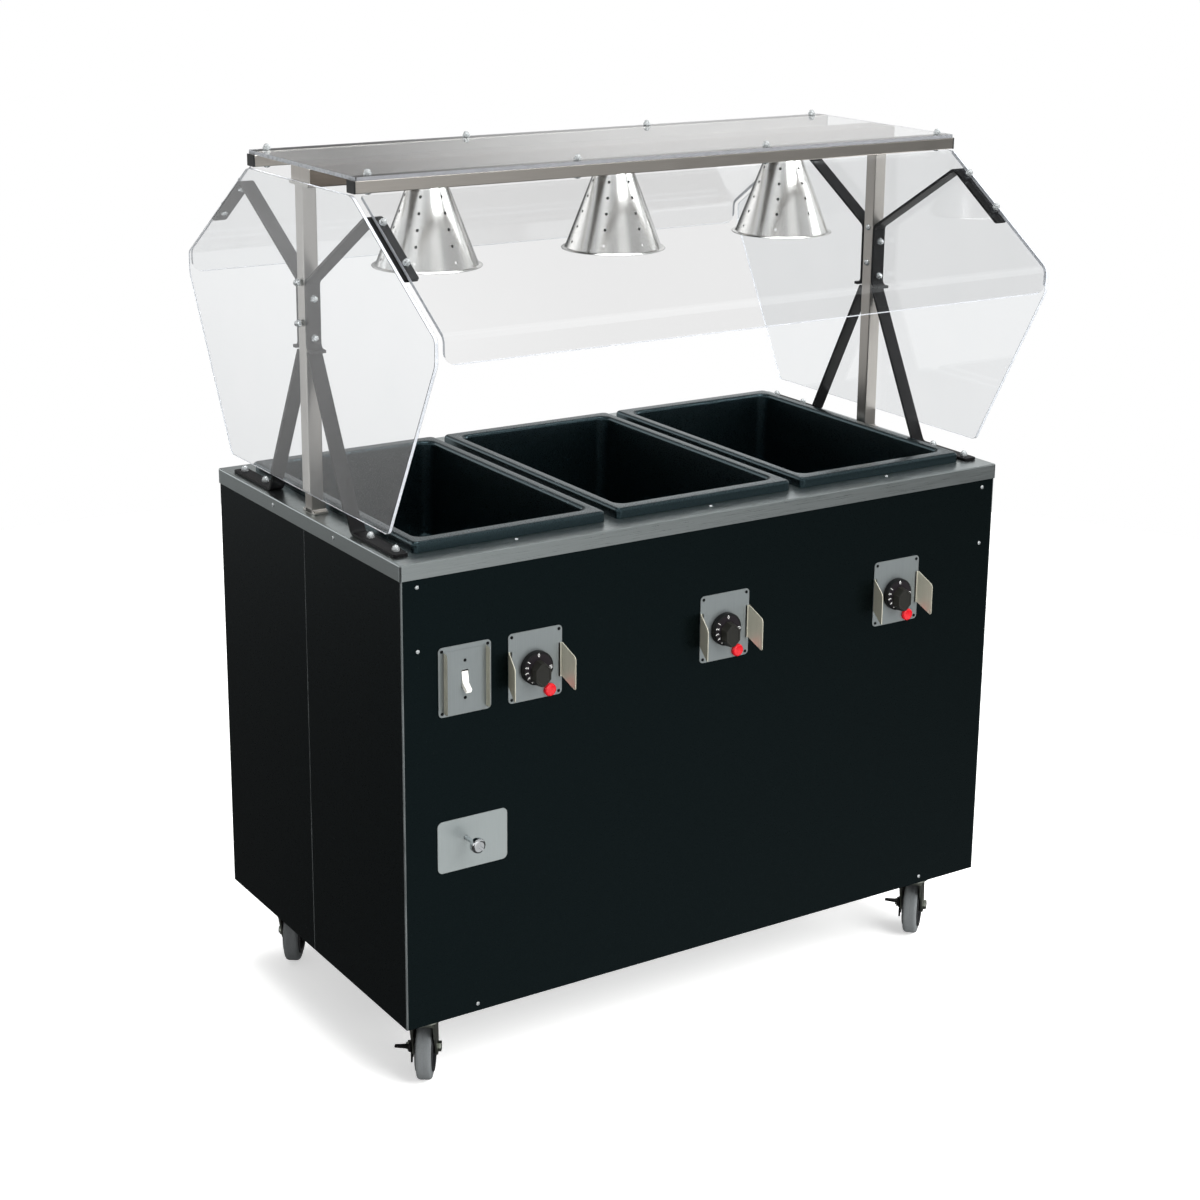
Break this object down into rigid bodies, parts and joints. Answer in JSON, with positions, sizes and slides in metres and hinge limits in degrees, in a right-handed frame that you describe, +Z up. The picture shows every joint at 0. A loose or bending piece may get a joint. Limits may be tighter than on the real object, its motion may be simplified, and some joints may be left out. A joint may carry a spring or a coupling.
{
  "type": "portable hot food table",
  "caption": "Wheeled serving table with a black cabinet, open heated wells, front controls, a drain pull and a clear guard with heat lamps.",
  "frame": {"origin": "on the floor under the middle of the table", "axes": "+Z up, +X along the length, the control side faces -Y"},
  "size_m": [1.1764, 0.884, 1.4795],
  "materials": {
    "stainless": "satin",
    "black_enamel": "semi-gloss",
    "well_thermoset": "satin",
    "black_bar": "satin",
    "black_plastic": "satin",
    "white_plastic": "gloss",
    "red_lens": "gloss",
    "clear_acrylic": "polished",
    "spun_aluminium": "spun",
    "zinc_plate": "zinc plated",
    "chrome_plate": "polished",
    "grey_rubber": "matte",
    "hub_plastic": "satin",
    "brass": "cast",
    "galvanised": "galvanised",
    "element_sheath": "oxidised",
    "ceramic": "glazed",
    "bulb_glass": "clear"
  },
  "bodies": {
    "table": {"countertop": "stainless", "front_wrap": "black_enamel", "rear_wrap": "black_enamel", "base_pan": "galvanised", "corner_uprights": "galvanised", "heater_housings": "galvanised", "heater_elements": "element_sheath", "drain_manifold": "brass", "drain_valve": "brass", "drain_plate": "stainless", "control_plates": "stainless", "thermostats": "black_plastic", "pilot_lights": "red_lens", "switch_plate": "stainless", "switch_body": "black_plastic", "power_inlet": "black_plastic", "cabinet_screws": "chrome_plate", "caster_plates": "zinc_plate", "post_left": "stainless", "post_right": "stainless", "raceway": "stainless", "shelf_rails": "stainless", "rail_caps": "black_plastic", "top_sheet": "clear_acrylic", "end_panels": "clear_acrylic", "slope_panels": "clear_acrylic", "upper_brackets": "black_bar", "lower_legs": "black_bar", "guard_bolts": "chrome_plate", "lamp_shade_left": "spun_aluminium", "lamp_shade_center": "spun_aluminium", "lamp_shade_right": "spun_aluminium", "lamp_sockets": "ceramic", "bulbs": "bulb_glass", "well_left": "well_thermoset", "well_center": "well_thermoset", "well_right": "well_thermoset"},
    "caster_front_left": {"fork_front_left": "zinc_plate", "axle_front_left": "zinc_plate"},
    "wheel_front_left": {"hub_front_left": "hub_plastic", "tyre_front_left": "grey_rubber"},
    "brake_lever_front_left": {"brake_front_left": "black_bar"},
    "caster_front_right": {"fork_front_right": "zinc_plate", "axle_front_right": "zinc_plate"},
    "wheel_front_right": {"hub_front_right": "hub_plastic", "tyre_front_right": "grey_rubber"},
    "brake_lever_front_right": {"brake_front_right": "black_bar"},
    "caster_rear_left": {"fork_rear_left": "zinc_plate", "axle_rear_left": "zinc_plate"},
    "wheel_rear_left": {"hub_rear_left": "hub_plastic", "tyre_rear_left": "grey_rubber"},
    "caster_rear_right": {"fork_rear_right": "zinc_plate", "axle_rear_right": "zinc_plate"},
    "wheel_rear_right": {"hub_rear_right": "hub_plastic", "tyre_rear_right": "grey_rubber"},
    "thermostat_dial_left": {"dial_left": "black_plastic"},
    "thermostat_dial_center": {"dial_center": "black_plastic"},
    "thermostat_dial_right": {"dial_right": "black_plastic"},
    "toggle": {"switch_toggle": "white_plastic"},
    "drain_pull": {"drain_knob": "chrome_plate"}
  },
  "joints": [
    {"name": "front_left_swivel", "type": "hinge", "parent": "table", "child": "caster_front_left", "pos_m": [-0.51, -0.248, 0.132], "axis": [0, 0, 1], "continuous": true},
    {"name": "front_left_roll", "type": "hinge", "parent": "caster_front_left", "child": "wheel_front_left", "pos_m": [-0.49322, -0.22313, 0.054], "axis": [0.829, -0.5592, 0], "continuous": true},
    {"name": "front_left_brake", "type": "hinge", "parent": "caster_front_left", "child": "brake_lever_front_left", "pos_m": [-0.49322, -0.22313, 0.054], "axis": [0.829, -0.5592, 0], "range_deg": [0, 20]},
    {"name": "front_right_swivel", "type": "hinge", "parent": "table", "child": "caster_front_right", "pos_m": [0.51, -0.248, 0.132], "axis": [0, 0, 1], "continuous": true},
    {"name": "front_right_roll", "type": "hinge", "parent": "caster_front_right", "child": "wheel_front_right", "pos_m": [0.53194, -0.22754, 0.054], "axis": [0.682, -0.7314, 0], "continuous": true},
    {"name": "front_right_brake", "type": "hinge", "parent": "caster_front_right", "child": "brake_lever_front_right", "pos_m": [0.53194, -0.22754, 0.054], "axis": [0.682, -0.7314, 0], "range_deg": [0, 20]},
    {"name": "rear_left_swivel", "type": "hinge", "parent": "table", "child": "caster_rear_left", "pos_m": [-0.51, 0.248, 0.132], "axis": [0, 0, 1], "continuous": true},
    {"name": "rear_left_roll", "type": "hinge", "parent": "caster_rear_left", "child": "wheel_rear_left", "pos_m": [-0.49279, 0.27258, 0.054], "axis": [0.8192, -0.5736, 0], "continuous": true},
    {"name": "rear_right_swivel", "type": "hinge", "parent": "table", "child": "caster_rear_right", "pos_m": [0.51, 0.248, 0.132], "axis": [0, 0, 1], "continuous": true},
    {"name": "rear_right_roll", "type": "hinge", "parent": "caster_rear_right", "child": "wheel_rear_right", "pos_m": [0.53598, 0.263, 0.054], "axis": [0.5, -0.866, 0], "continuous": true},
    {"name": "dial_left_turn", "type": "hinge", "parent": "table", "child": "thermostat_dial_left", "pos_m": [-0.35, -0.3301, 0.715], "axis": [0, 1, 0], "range_deg": [0, 270]},
    {"name": "dial_center_turn", "type": "hinge", "parent": "table", "child": "thermostat_dial_center", "pos_m": [0.01, -0.3301, 0.715], "axis": [0, 1, 0], "range_deg": [0, 270]},
    {"name": "dial_right_turn", "type": "hinge", "parent": "table", "child": "thermostat_dial_right", "pos_m": [0.37, -0.3301, 0.715], "axis": [0, 1, 0], "range_deg": [0, 270]},
    {"name": "toggle_tip", "type": "hinge", "parent": "table", "child": "toggle", "pos_m": [-0.475, -0.3175, 0.719], "axis": [-1, 0, 0], "range_deg": [0, 70]},
    {"name": "drain_pull_slide", "type": "slide", "parent": "table", "child": "drain_pull", "axis": [0, -1, 0], "range_m": [0, 0.025]}
  ]
}
